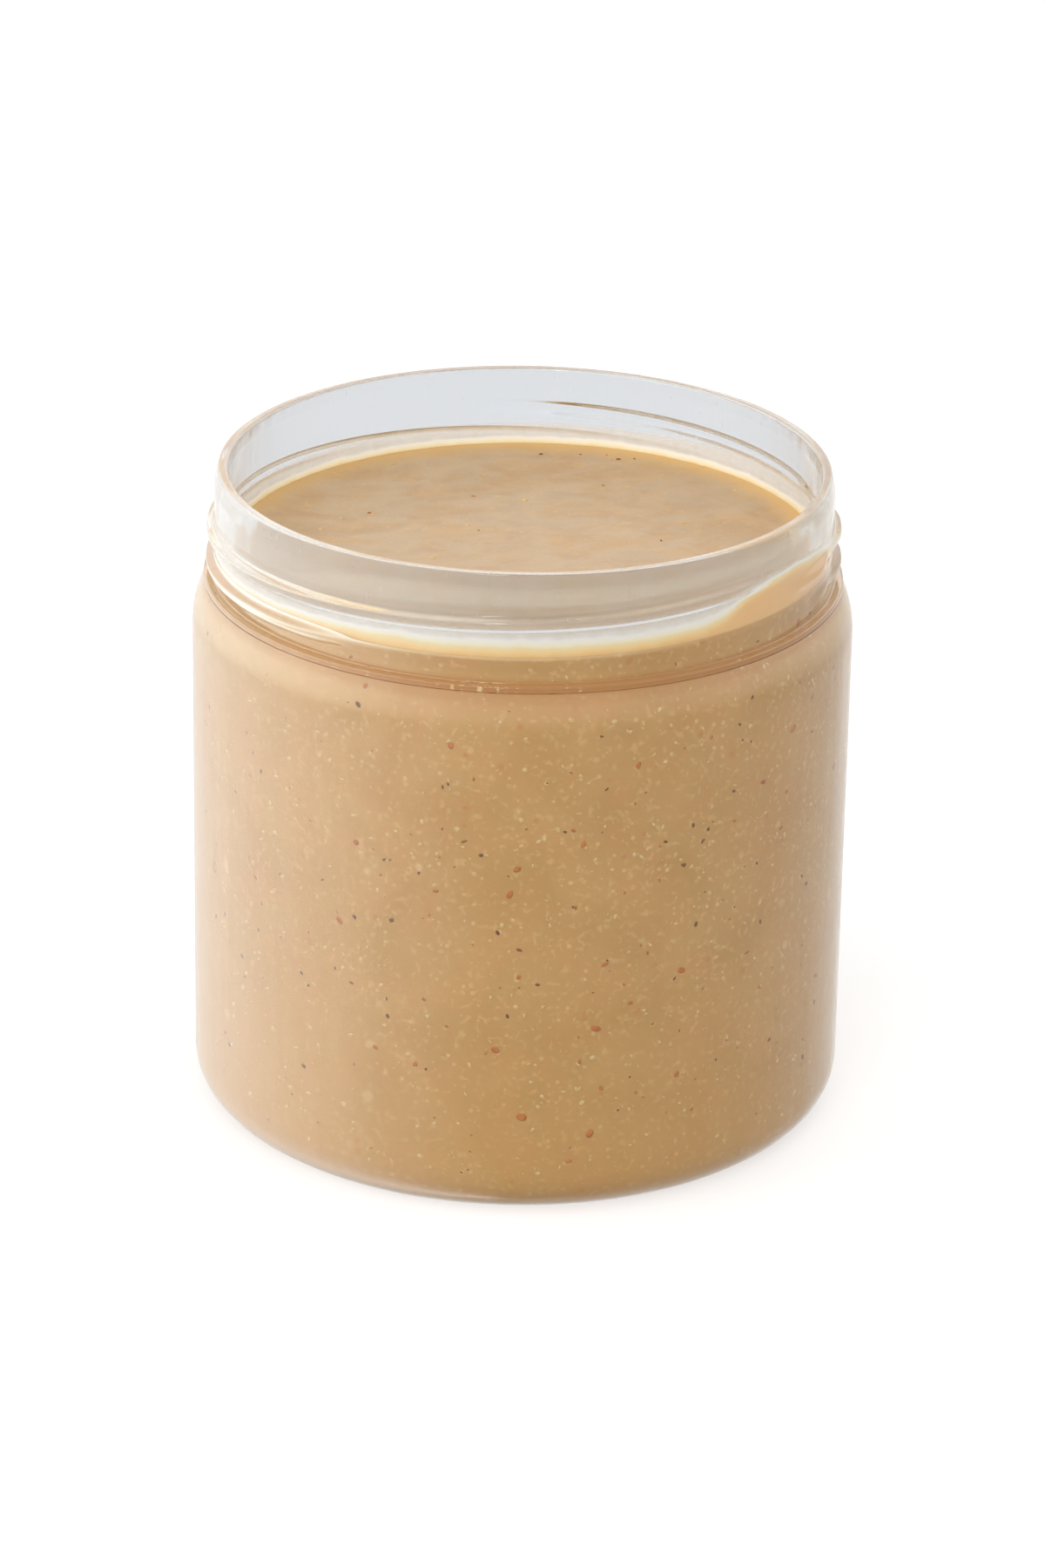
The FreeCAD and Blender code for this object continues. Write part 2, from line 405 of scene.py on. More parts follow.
def make_spread():
    """The spread as one solid, with one material at the wall and another on its open surface."""
    angles = even_angles(SPREAD_COLUMNS)
    side = spread_side(angles)
    rings = np.concatenate([side, spread_surface(angles)])
    floor = (0, 0, BASE_WALL + CONE_HEIGHT - WALL_OVERLAP)
    piece = turned_solid("spread_fill", rings, floor, (0, 0, float(spread_top(0.0, 0.0))))
    last_ring = (len(rings) - 1) * SPREAD_COLUMNS
    in_air = np.zeros(len(piece.data.polygons), int)
    in_air[len(side) * SPREAD_COLUMNS : last_ring] = 1
    in_air[last_ring + 1 :: 2] = 1
    poles = [0, 0]
    # The veil numbers hold both the oily veil and the painted reflection on the shoulder
    add_values(piece, "veil", np.append(pale_veil_and_reflection(rings[:, :, 2], np.degrees(angles)), poles))
    piece.data.materials.append(paste_at_wall())
    piece.data.materials.append(paste_in_air())
    piece.data.polygons.foreach_set("material_index", in_air)
    return piece


# Film and smear on the wall --------------------------------------------------------------

FILM_FOOT = 81.2
FILM_COLUMNS = 720
FILM_ROWS = 60
FILM_OVERLAP = 0.06
# How far above FILM_TOP the film fades out, and the least smear above the surface's edge
FILM_RISE = 1.1
SHORE_FILM = 0.2
# The uneven edges of both: seed, height, and how many waves go round the jar
FILM_WAVES = (11, 0.14, 17, 29, 43, 71)
SMEAR_WAVES = (12, 0.16, 19, 31, 47, 67)
# Thickness of the veil, what the margin and the smear add to it at what cover, and the thin edge
VEIL_COAT = 0.04
MARGIN_COAT = 0.1
MARGIN_SPAN = (0.1, 0.6)
SMEAR_COAT = 0.5
SMEAR_SPAN = (0.6, 1.0)
EDGE_SPAN = (0.9, 1.0)
EDGE_THINNING = 0.9
# The coat is heaviest round one turn and lighter toward the back, in degrees away from it
HEAVY_TURN = -66
HEAVY_FADE = (45, 100)
LIGHT_COVER = 0.6
# Width of the smear's cream margin, what the heavy side adds to it, and how far it sinks in
MARGIN_WIDTH = 1.3
MARGIN_HEAVIER = 1.0
MARGIN_SINK = 0.6
# Share of the cover in the veil above the smear, where it starts to fade, and its least height
VEIL_SHARE = 0.29
VEIL_HEAVIER = 0.02
VEIL_SPAN = (0.25, 1.0)
LEAST_VEIL = 0.5
# A faint oily haze above it on the heavy side: its top, strength, lower fade and upper fade
HAZE_TOP = 92.6
HAZE = 0.056
HAZE_START = (1.0, 2.6)
HAZE_END = (0.85, 1.0)
# The tables go round the jar as (angle in degrees, value), and -90 is its front
TABLE_START = -150
FILM_TOP = (
    (-150, 84.2), (-135, 84.4), (-120, 85.1), (-110, 85.8), (-96, 86.1), (-84, 86.2), (-70, 86.3),
    (-60, 86.6), (-47, 87.2), (-31, 87.6), (-19, 87.4), (0, 86.4), (20, 87.0), (40, 86.6), (65, 85.6),
    (90, 85.3), (140, 84.9), (180, 84.6), (210, 84.2),
)
SMEAR_TOP = (
    (-150, 79.9), (-141, 80.5), (-125, 81.3), (-110, 81.8), (-90, 82.0), (-70, 82.2), (-54, 82.5),
    (-49.5, 83.4), (-46, 84.7), (-43, 85.5), (-38, 86.1), (-33, 86.4), (-29, 86.5), (-20, 85.7),
    (-15, 85.0), (-8, 83.4), (0, 82.3), (40, 82.1), (90, 82.0), (140, 81.6), (170, 80.9), (190, 79.7),
    (210, 79.9),
)
# A painted reflection, a pale band on the shoulder strongest toward the jar's sides: its strength round the
# jar, and where it starts and ends
PAINTED_REFLECTION_BAND = (
    (-150, 0.34), (-125, 0.22), (-100, 0.13), (-60, 0.13), (-40, 0.18), (-10, 0.34), (30, 0.25),
    (90, 0.15), (150, 0.25), (180, 0.38), (210, 0.34),
)
REFLECTION_BAND_START = (71.0, 74.5)
REFLECTION_BAND_END = (75.6, 77.2)
# Half the height over which the spread's side turns pale above the smear's line
PALE_FADE = 0.9


def wavy(angles, seed, height, *counts):
    """A smooth closed wave round the jar, from a few whole numbers of waves."""
    rng = np.random.default_rng(seed)
    total = np.zeros_like(angles)
    for count in counts:
        phase = rng.uniform(0, 2 * math.pi)
        total += math.sqrt(1 / count) * np.sin(np.radians(angles) * count + phase)
    return height * total


def round_the_jar(table, angles):
    """The table's value at each angle in degrees."""
    degrees = np.array([angle for angle, _ in table], float)
    values = np.array([value for _, value in table], float)
    return np.interp((angles - TABLE_START) % 360 + TABLE_START, degrees, values)


def pale_veil_and_reflection(heights, degrees):
    """How pale the spread's side turns: 1 above the smear's line, where oil veils it, and less in the
    shoulder's band, a painted reflection.
    """
    veil = smooth(-PALE_FADE, PALE_FADE, heights - round_the_jar(SMEAR_TOP, degrees))
    band = smooth(*REFLECTION_BAND_START, heights) * (1 - smooth(*REFLECTION_BAND_END, heights))
    return np.maximum(veil, band * round_the_jar(PAINTED_REFLECTION_BAND, degrees))


def smear_line(degrees):
    """Height of the smear's top, never below the edge of the surface."""
    around = np.radians(degrees)
    shore = surface_height(BORE_RADIUS * np.cos(around), BORE_RADIUS * np.sin(around))
    smear = np.maximum(round_the_jar(SMEAR_TOP, degrees), shore + SHORE_FILM)
    return smear + wavy(degrees, *SMEAR_WAVES)


def smear_cover(heights, smear, top, heavy):
    """1 in the thick smear, about a half at its cream margin, then less up to nothing."""
    margin_width = MARGIN_WIDTH + MARGIN_HEAVIER * heavy
    margin = smooth(0, 1, (smear - heights + margin_width) / (margin_width + MARGIN_SINK))
    veil = 1 - smooth(*VEIL_SPAN, (heights - smear) / np.maximum(top - smear, LEAST_VEIL))
    veil_share = VEIL_SHARE + VEIL_HEAVIER * heavy
    cover = veil_share * veil + (1 - veil_share) * margin
    return cover * (LIGHT_COVER + (1 - LIGHT_COVER) * heavy)


def film_thickness(cover, rise):
    """Thickest in the smear, thin under the veil and thinnest along the top edge."""
    smear, margin = SMEAR_COAT * smooth(*SMEAR_SPAN, cover), MARGIN_COAT * smooth(*MARGIN_SPAN, cover)
    return (VEIL_COAT + smear + margin) * (1 - smooth(*EDGE_SPAN, rise) * EDGE_THINNING)


def make_film():
    """The thin coat that the spread left on the wall, thick in the smear and fading upward.

    A faint oily haze goes on above it on the heavy side of the neck.
    """
    degrees = (np.arange(FILM_COLUMNS) * 360 / FILM_COLUMNS - 180)[None, :]
    film_top = round_the_jar(FILM_TOP, degrees) + FILM_RISE + wavy(degrees, *FILM_WAVES)
    smear = smear_line(degrees)
    heavy = 1 - smooth(*HEAVY_FADE, np.abs((degrees - HEAVY_TURN + 180) % 360 - 180))
    top = film_top + (HAZE_TOP - film_top) * heavy
    rise = np.linspace(0, 1, FILM_ROWS)[:, None]
    heights = FILM_FOOT + (top - FILM_FOOT) * rise
    haze = HAZE * heavy * (1 - smooth(*HAZE_END, rise)) * smooth(*HAZE_START, heights - film_top)
    cover = np.maximum(smear_cover(heights, smear, film_top, heavy), haze)
    angles = np.radians(degrees)
    outer = ring_points(BORE_RADIUS + FILM_OVERLAP, heights, angles)
    inner = ring_points(BORE_RADIUS - film_thickness(cover, rise), heights, angles)[::-1]
    rings = np.concatenate([outer, inner])
    faces = band_faces(len(rings), FILM_COLUMNS, closed=True)
    piece = new_object("wall_film", rings.reshape(-1, 3), faces)
    add_values(piece, "cover", np.concatenate([cover, cover[::-1]]))
    return piece


# Bits of nut -----------------------------------------------------------------------------

# Name, seed, how many at the wall, how many on the surface, shortest, longest, deepest
BIT_KINDS = (
    ("flecks_pale", 21, 2400, 90, 0.26, 0.90, 0.24),
    ("specks_dark", 22, 280, 14, 0.30, 0.90, 0.24),
    ("specks_red", 23, 300, 10, 0.36, 1.50, 0.26),
)
# The lumps of a kind are drawn with its seed and this added
LUMP_SEED = 100
BIT_SINK = 0.02
# Widths as shares of the length, and the power that makes most of the bits small
BIT_WIDTHS = (0.4, 0.9)
SIZE_POWER = 2.2
# How far a lump swells and shrinks, and how quickly that changes over it
BULGE = 0.22
BULGE_BEND = 1.6
# Where the bits lie: heights at the wall, and the share of the surface's radius
BIT_HEIGHTS = (6.5, 79.5)
SURFACE_REACH = 0.97
# Rise over which the lean of the wall is taken
LEAN_STEP = 0.1


def lump_template():
    """Points and faces of a small ball of 80 triangles."""
    ball = bmesh.new()
    bmesh.ops.create_icosphere(ball, subdivisions=2, radius=1.0)
    points = np.array([vertex.co[:] for vertex in ball.verts])
    faces = np.array([[vertex.index for vertex in face.verts] for face in ball.faces])
    ball.free()
    return points, faces


def scatter(name, places, sizes, seed):
    """One piece of many irregular lumps. A place is (point, outward direction)."""
    rng = np.random.default_rng(seed)
    ball, triangles = lump_template()
    points, faces = [], []
    for (centre, outward), size in zip(places, sizes):
        spin = Matrix.Rotation(rng.uniform(0, math.tau), 3, "Z")
        turn = Vector(outward).normalized().to_track_quat("Z", "Y").to_matrix() @ spin
        bulge = 1 + BULGE * np.sin(ball @ rng.normal(0, BULGE_BEND, 3) + rng.uniform(0, math.tau))
        body = ball * bulge[:, None] * np.array(size) / 2
        points.append(body @ np.array(turn).T + np.asarray(centre))
        faces.append(triangles + len(ball) * (len(points) - 1))
    return new_object(name, np.concatenate(points), np.concatenate(faces).tolist())


def wall_place(angle, height, depth):
    """A place on the outside of the spread where it meets the wall, sunk in by depth."""
    radius = float(inner_shoulder_radius(height))
    above, below = inner_shoulder_radius(height + LEAN_STEP), inner_shoulder_radius(height - LEAN_STEP)
    lean = (float(above) - float(below)) / (2 * LEAN_STEP)
    out, up = 1 / math.hypot(1, lean), -lean / math.hypot(1, lean)
    shift = WALL_OVERLAP - depth
    turn = math.radians(angle)
    reach = radius + out * shift
    place = (reach * math.cos(turn), reach * math.sin(turn), height + up * shift)
    return place, (out * math.cos(turn), out * math.sin(turn), up)


def surface_place(x, y, depth):
    """A place on the open surface, sunk in by depth."""
    return (x, y, float(spread_top(x, y)) - depth), (0, 0, 1)


def scattered_places(rng, wall_count, surface_count, sink):
    """Even random places over the side of the spread and over its surface."""
    places = []
    for _ in range(wall_count):
        places.append(wall_place(rng.uniform(-180, 180), rng.uniform(*BIT_HEIGHTS), sink))
    for _ in range(surface_count):
        reach = BORE_RADIUS * SURFACE_REACH * math.sqrt(rng.uniform())
        turn = rng.uniform(0, math.tau)
        places.append(surface_place(reach * math.cos(turn), reach * math.sin(turn), sink))
    return places


def lump_sizes(rng, count, low, high, depth):
    """Random sizes, most of them small."""
    lengths = low + (high - low) * rng.uniform(0, 1, count) ** SIZE_POWER
    widths = lengths * rng.uniform(*BIT_WIDTHS, count)
    return [(length, width, min(depth, width)) for length, width in zip(lengths, widths)]


def make_bits():
    """Pale flecks of nut, dark specks of skin and reddish bits, each kind as one piece."""
    pieces = []
    for name, seed, on_wall, on_surface, low, high, depth in BIT_KINDS:
        rng = np.random.default_rng(seed)
        places = scattered_places(rng, on_wall, on_surface, BIT_SINK)
        sizes = lump_sizes(rng, len(places), low, high, depth)
        pieces.append(scatter(name, places, sizes, seed + LUMP_SEED))
    return pieces


# Materials -------------------------------------------------------------------------------


class Nodes:
    """The node tree of a new material or of the world, with short ways to add and join nodes."""

    def __init__(self, owner):
        if isinstance(owner, str):
            self.material = bpy.data.materials.new(owner)
            self.material.use_nodes = True
            self.tree = self.material.node_tree
            output = "ShaderNodeOutputMaterial"
        else:
            self.material = None
            self.tree = owner
            output = "ShaderNodeOutputWorld"
        self.tree.nodes.clear()
        self.output = self.add(output)

    def add(self, kind, settings=None, **inputs):
        """A node with its settings, and with inputs by name, a space written as an underscore."""
        node = self.tree.nodes.new(kind)
        for name, value in (settings or {}).items():
            setattr(node, name, value)
        return self.fill(node, {name.replace("_", " "): value for name, value in inputs.items()})

    def fill(self, node, inputs):
        """Give inputs, by name or by number, a value or what comes out of another node."""
        for key, value in inputs.items():
            target = node.inputs[key]
            if isinstance(value, bpy.types.NodeSocket):
                self.tree.links.new(value, target)
            elif target.type == "RGBA":
                target.default_value = (*value, 1.0)
            else:
                target.default_value = value
        return node

    def maths(self, operation, first, second):
        node = self.add("ShaderNodeMath", {"operation": operation})
        return self.fill(node, {0: first, 1: second}).outputs[0]

    def vectors(self, operation, *values):
        """Vector maths, which gives a number for a length or a dot product."""
        node = self.add("ShaderNodeVectorMath", {"operation": operation})
        self.fill(node, dict(enumerate(values)))
        return node.outputs["Value" if operation in ("LENGTH", "DOT_PRODUCT") else "Vector"]

    def mix(self, share, first, second):
        """A mix of two colours."""
        node = self.add("ShaderNodeMix", {"data_type": "RGBA"})
        return self.fill(node, {0: share, 6: first, 7: second}).outputs[2]

    def mix_numbers(self, share, first, second):
        node = self.add("ShaderNodeMix", {"data_type": "FLOAT"})
        return self.fill(node, {0: share, 2: first, 3: second}).outputs[0]

    def blend(self, share, first, second):
        """A mix of two shaders."""
        node = self.add("ShaderNodeMixShader")
        return self.fill(node, {0: share, 1: first, 2: second}).outputs[0]

    def between(self, value, span, results):
        """A number that goes from one result to the other while the value crosses the span."""
        node = self.add("ShaderNodeMapRange", Value=value)
        numbers = (*span, *results)
        return self.fill(node, dict(zip(("From Min", "From Max", "To Min", "To Max"), numbers))).outputs[0]

    def ramp(self, value, *stops):
        """A colour read off stops of (place, colour)."""
        node = self.add("ShaderNodeValToRGB", Fac=value)
        elements = node.color_ramp.elements
        while len(elements) < len(stops):
            elements.new(0.5)
        for element, (place, colour) in zip(elements, stops):
            element.position = place
            element.color = (*colour, 1.0)
        return node.outputs["Color"]

    def position(self):
        """Place on the object, in millimetres."""
        place = self.add("ShaderNodeTexCoord").outputs["Object"]
        return self.add("ShaderNodeVectorMath", {"operation": "SCALE"}, Vector=place, Scale=1 / MM).outputs[0]

    def moved(self, place, distance):
        return self.vectors("ADD", place, (distance, distance, distance))

    def axis(self, place, name):
        return self.add("ShaderNodeSeparateXYZ", Vector=place).outputs[name]

    def stored(self, name):
        """A number that the vertices hold."""
        return self.add("ShaderNodeAttribute", {"attribute_name": name}).outputs["Fac"]

    def noise(self, place, scale, detail=3.0, distortion=0.0):
        return self.add(
            "ShaderNodeTexNoise", Vector=place, Scale=scale, Detail=detail, Distortion=distortion
        ).outputs["Fac"]

    def crumbs(self, place, scale, low, high, share):
        """Round spots of uneven size in some cells of a random pattern."""
        cells = self.add("ShaderNodeTexVoronoi", Vector=place, Scale=scale)
        pick = self.add("ShaderNodeSeparateColor", Color=cells.outputs["Color"]).outputs[0]
        radius = self.between(pick, (low, high), (0.0, CRUMB_RADIUS))
        inside = self.maths("SUBTRACT", radius, cells.outputs["Distance"])
        return self.between(inside, (0.0, CRUMB_EDGE), (0.0, share))

    def bump(self, height, strength, distance):
        node = self.add("ShaderNodeBump", Height=height, Strength=strength, Distance=distance)
        return node.outputs["Normal"]

    def principled(self, **inputs):
        return self.add("ShaderNodeBsdfPrincipled", **inputs).outputs[0]

    def finish(self, shader):
        self.fill(self.output, {"Surface": shader})
        return self.material


# From none to all of something, and what leaves out the height of a place
ALL = (0.0, 1.0)
LEVEL_ONLY = (1.0, 1.0, 0.0)

# The jar: its tints, the heights over which its looks change, and its marks, drawn out upright
BODY_TINT = (0.80, 0.835, 0.86)
NECK_TINT = (0.755, 0.792, 0.835)
SHADOW_TINT = (0.97, 0.975, 0.98)
PLASTIC_IOR = 1.57
TINT_FADE = (78.0, 80.0)
GLOSS_FADE = (74.0, 79.0)
SCRATCH_FADE = (86.0, 88.0)
LIP_FADE = (93.1, 93.8)
RIPPLE_STRETCH = (1.0, 1.0, 0.08)
SCRATCH_STRETCH = (1.0, 1.0, 0.12)

# The paste: how light spreads in it, and its colours at the wall, in the veil and in the air, with painted
# shade, a painted reflection and a painted glow among them
PASTE_GLOW = {"Subsurface_Scale": 0.0012, "Subsurface_Radius": (1.0, 0.6, 0.35), "Subsurface_Weight": 0.4}
WALL_CREAM = (0.74, 0.50, 0.23)
# Painted shade: a deeper tan toward the foot
FOOT_SHADE_TAN = (0.565, 0.305, 0.078)
# Painted shade: darker browns on the shoulder and under the bead
SHOULDER_PAINTED_SHADE = (0.45, 0.20, 0.052)
BEAD_PAINTED_SHADE = (0.40, 0.165, 0.038)
# Honey of the oily veil, which also paints the reflection on the shoulder
HONEY_VEIL_AND_REFLECTION = (0.85, 0.67, 0.42)
VEIL_WHITE = (0.95, 0.92, 0.86)
AIR_CREAM = (0.70, 0.55, 0.37)
AIR_FLAKE = (0.66, 0.44, 0.19)
# Painted glow: amber where the open surface meets the wall
SHORE_PAINTED_GLOW = (0.66, 0.42, 0.165)
# Where they change: by height, across the jar, by distance from its axis, and in the mottling
# Heights of the painted shade toward the foot
FOOT_SHADE_FADE = (8.0, 40.0)
# Heights of the painted shade on the shoulder and at the bead, where it ends, and the side where it thins out
# on the lit left
SHOULDER_SHADE_FADE = (73.2, 77.3)
BEAD_SHADE_FADE = (76.6, 77.4)
PAINTED_SHADE_END = (77.9, 79.2)
PAINTED_SHADE_SIDE = (-42.0, -14.0)
# Where the painted amber glow fades in toward the wall
SHORE_GLOW_FADE = (37.2, 41.0)
HUE_SPAN = (0.42, 0.58)
# The mottling of the open surface is drawn out along its folds
SURFACE_STRETCH = (0.65, 1.0, 1.0)

# Soft crumbs seen through the wall: cells a millimetre, range of the pick, strength, colour
CRUMB_KINDS = (
    (0.85, 0.45, 1.0, 0.40, (0.76, 0.54, 0.27)),
    (0.42, 0.84, 1.0, 0.60, (0.52, 0.22, 0.06)),
    (0.30, 0.90, 1.0, 0.35, (0.78, 0.56, 0.30)),
)
# Their largest radius and their soft edge, as shares of a cell
CRUMB_RADIUS = 0.34
CRUMB_EDGE = 0.10

# Colour of the film by how thickly it covers
FILM_COLOURS = (
    (0.07, (0.90, 0.72, 0.51)),
    (0.17, (0.86, 0.79, 0.69)),
    (0.30, (0.90, 0.82, 0.68)),
    (0.42, (0.90, 0.76, 0.50)),
    (0.56, (0.86, 0.63, 0.35)),
    (0.74, (0.88, 0.59, 0.275)),
    (0.95, (0.84, 0.53, 0.22)),
)


def jar_material():
    """Clear moulded plastic with handling marks, smoother on the neck, which lets lamps through."""
    nodes = Nodes("clear_plastic_moulded")
    place = nodes.position()
    height = nodes.axis(place, "Z")
    marks = nodes.between(nodes.noise(place, 0.35, 4.0, 0.6), (0.35, 0.75), (0.0, 0.06))
    ripple = nodes.noise(nodes.vectors("MULTIPLY", place, RIPPLE_STRETCH), 0.12, 2.0)
    lines = nodes.noise(nodes.vectors("MULTIPLY", place, SCRATCH_STRETCH), 1.6, 2.0)
    near_lip = nodes.between(height, SCRATCH_FADE, (0.0, 0.2))
    scratches = nodes.maths("MULTIPLY", nodes.between(lines, (0.66, 0.74), ALL), near_lip)
    gloss = nodes.maths("ADD", scratches, nodes.between(height, GLOSS_FADE, (0.15, 0.085)))
    shell = nodes.principled(
        Base_Color=nodes.ramp(nodes.between(height, TINT_FADE, ALL), (0.0, BODY_TINT), (1.0, NECK_TINT)),
        Roughness=nodes.maths("ADD", gloss, marks),
        Transmission_Weight=nodes.between(height, LIP_FADE, (0.985, 0.955)),
        IOR=PLASTIC_IOR,
        Normal=nodes.bump(ripple, 0.25, 0.0008),
    )
    clear = nodes.add("ShaderNodeBsdfTransparent", Color=SHADOW_TINT)
    rays = nodes.add("ShaderNodeLightPath")
    passing = nodes.maths("MAXIMUM", rays.outputs["Is Shadow Ray"], rays.outputs["Is Diffuse Ray"])
    return nodes.finish(nodes.blend(passing, shell, clear.outputs[0]))


def paste_at_wall():
    """Nut paste where it lies on the wall: warm tan with soft crumbs, and pale where oil parts them. Painted
    shade deepens it toward the foot, on the shoulder and under the bead, and a painted reflection lays a pale
    band on the shoulder.
    """
    nodes = Nodes("nut_paste_at_wall")
    place = nodes.position()
    height = nodes.axis(place, "Z")
    broad = nodes.noise(place, 0.09, 4.0, 0.6)
    hue = nodes.noise(nodes.moved(place, 40.0), 0.13, 3.0, 0.4)
    grain = nodes.noise(place, 1.1, 1.0, 0.5)
    warm = nodes.ramp(broad, (0.32, (0.520, 0.277, 0.088)), (0.68, (0.570, 0.315, 0.110)))
    yellow = nodes.ramp(broad, (0.32, (0.507, 0.283, 0.089)), (0.68, (0.557, 0.321, 0.113)))
    colour = nodes.mix(nodes.between(hue, HUE_SPAN, ALL), warm, yellow)
    colour = nodes.mix(nodes.between(grain, (0.56, 0.72), (0.0, 0.34)), colour, WALL_CREAM)
    for scale, low, high, share, tint in CRUMB_KINDS:
        colour = nodes.mix(nodes.crumbs(place, scale, low, high, share), colour, tint)
    # Painted shade: deeper tan toward the foot, standing in for the dimmer reflection of the shaded floor
    # near the jar
    colour = nodes.mix(nodes.between(height, FOOT_SHADE_FADE, (0.35, 0.0)), colour, FOOT_SHADE_TAN)
    # Painted shade on the shoulder and under the bead, where the bead shades the paste, thinned out on the
    # lit left side
    painted_shade = nodes.maths(
        "MULTIPLY",
        nodes.between(height, PAINTED_SHADE_END, (1.0, 0.0)),
        nodes.between(nodes.axis(place, "X"), PAINTED_SHADE_SIDE, (0.2, 1.0)),
    )
    shoulder = nodes.between(height, SHOULDER_SHADE_FADE, (0.0, 0.55))
    colour = nodes.mix(nodes.maths("MULTIPLY", shoulder, painted_shade), colour, SHOULDER_PAINTED_SHADE)
    bead = nodes.between(height, BEAD_SHADE_FADE, (0.0, 0.7))
    colour = nodes.mix(nodes.maths("MULTIPLY", bead, painted_shade), colour, BEAD_PAINTED_SHADE)
    veil = nodes.stored("veil")
    # Honey over the oily veil above the smear's line and over the shoulder's band, a painted reflection
    colour = nodes.mix(nodes.between(veil, (0.1, 0.6), (0.0, 0.8)), colour, HONEY_VEIL_AND_REFLECTION)
    colour = nodes.mix(nodes.between(veil, (0.5, 1.0), ALL), colour, VEIL_WHITE)
    paste = nodes.principled(Base_Color=colour, Roughness=0.6, Specular_IOR_Level=0.05, **PASTE_GLOW)
    return nodes.finish(paste)


def paste_in_air():
    """Nut paste at its open surface: paler and pinker, mottled, with a soft oily sheen, and amber toward the
    wall as a painted glow.
    """
    nodes = Nodes("nut_paste_in_air")
    place = nodes.position()
    lie = nodes.add(
        "ShaderNodeMapping", Vector=place, Rotation=(0.0, 0.0, -SWIRL_TURN), Scale=SURFACE_STRETCH
    ).outputs[0]
    streaks = nodes.noise(lie, 0.22, 5.0, 1.4)
    patches = nodes.noise(nodes.moved(lie, 15.0), 0.16, 4.0, 0.9)
    grain = nodes.noise(place, 1.4, 4.0, 0.4)
    flakes = nodes.noise(nodes.moved(lie, 60.0), 0.75, 2.0, 0.6)
    pale = nodes.ramp(streaks, (0.36, (0.490, 0.340, 0.196)), (0.64, (0.535, 0.380, 0.226)))
    tan = nodes.ramp(streaks, (0.36, (0.475, 0.300, 0.150)), (0.64, (0.540, 0.355, 0.190)))
    colour = nodes.mix(nodes.between(patches, HUE_SPAN, ALL), tan, pale)
    colour = nodes.mix(nodes.between(grain, (0.60, 0.76), (0.0, 0.3)), colour, AIR_CREAM)
    colour = nodes.mix(nodes.between(flakes, (0.64, 0.72), (0.0, 0.4)), colour, AIR_FLAKE)
    reach = nodes.vectors("LENGTH", nodes.vectors("MULTIPLY", place, LEVEL_ONLY))
    # Painted glow: amber toward the wall, as if lit through the spread's thin edge
    colour = nodes.mix(nodes.between(reach, SHORE_GLOW_FADE, (0.0, 0.9)), colour, SHORE_PAINTED_GLOW)
    paste = nodes.principled(
        Base_Color=colour,
        Roughness=nodes.between(streaks, (0.3, 0.7), (0.36, 0.5)),
        Specular_IOR_Level=0.25,
        Normal=nodes.bump(grain, 0.3, 0.0002),
        **PASTE_GLOW,
    )
    return nodes.finish(paste)


def film_material():
    """Spread left on the wall: tan where thick, honey and cream at its margin, then a white veil."""
    nodes = Nodes("nut_spread_film")
    place = nodes.position()
    mottle = nodes.noise(place, 0.4, 4.0, 0.6)
    fine = nodes.noise(place, 2.2, 3.0, 0.3)
    uneven = nodes.maths("MULTIPLY", nodes.stored("cover"), nodes.between(mottle, (0.25, 0.75), (0.9, 1.1)))
    coat = nodes.principled(
        Base_Color=nodes.ramp(uneven, *FILM_COLOURS),
        Roughness=nodes.between(mottle, (0.3, 0.7), (0.4, 0.55)),
        Specular_IOR_Level=0.3,
        Subsurface_Weight=0.6,
        Subsurface_Scale=0.0012,
        Subsurface_Radius=(1.0, 0.85, 0.7),
        Alpha=nodes.between(uneven, (0.02, 0.26), ALL),
        Normal=nodes.bump(fine, 0.2, 0.0002),
    )
    return nodes.finish(coat)


def bit_material(name, dark, light, roughness):
    """Bits of nut or skin, each a little different."""
    nodes = Nodes(name)
    place = nodes.position()
    bit = nodes.principled(
        Base_Color=nodes.ramp(nodes.noise(place, 0.9), (0.3, dark), (0.7, light)),
        Roughness=roughness,
        Specular_IOR_Level=0.3,
        Normal=nodes.bump(nodes.noise(place, 6.0, 2.0), 0.4, 0.0001),
    )
    return nodes.finish(bit)


# Stage -----------------------------------------------------------------------------------

# The floor: half its side in metres, its grey, and its glow to the eye and through plastic
FLOOR_HALF = 3.0
FLOOR_GREY = (0.62, 0.62, 0.62)
FLOOR_SEEN = 0.52
FLOOR_THROUGH = 0.40

# The white room: its light, and how bright smooth surfaces mirror it at the front, at the back
# and, as a factor, above, with the spans of the direction's parts over which it changes
AMBIENT = 0.495
ROOM_FRONT = 0.56
ROOM_BACK = 1.1
ROOM_ABOVE = 2.1
BACK_SPAN = (-0.7, 0.5)
ABOVE_SPAN = (-0.1, 0.35)
ROOM_TINT = (1.0, 0.98, 0.95)
WHITE = (1.0, 1.0, 1.0)
# A broad bright side and a small window, each as turn from the camera's side and height angle
BRIGHT_SIDE = (-88.0, 0.0)
BRIGHT_GLOW = 2.45
BRIGHT_POWER = 2.1
WINDOW = (-15.0, 50.0)
WINDOW_GLARE = 9.0
# How near to their directions they start and are whole, as cosines
BRIGHT_SPAN = (-0.05, 1.0)
WINDOW_SPAN = (0.993, 0.998)

# Name, turn from the camera's side in degrees, height angle, distance, width, watts
LAMPS = (
    ("left_soft", -80.0, 24.0, 0.95, 0.9, 3.6),
    ("front_soft", -2.0, 30.0, 1.5, 1.6, 14.0),
    ("back_soft", 170.0, 25.0, 1.5, 1.6, 6.5),
    ("right_soft", 78.0, 25.0, 1.5, 1.6, 0.8),
    ("top_soft", 20.0, 82.0, 1.1, 0.9, 0.8),
)
LAMP_AIM = Vector((0, 0, 0.05))

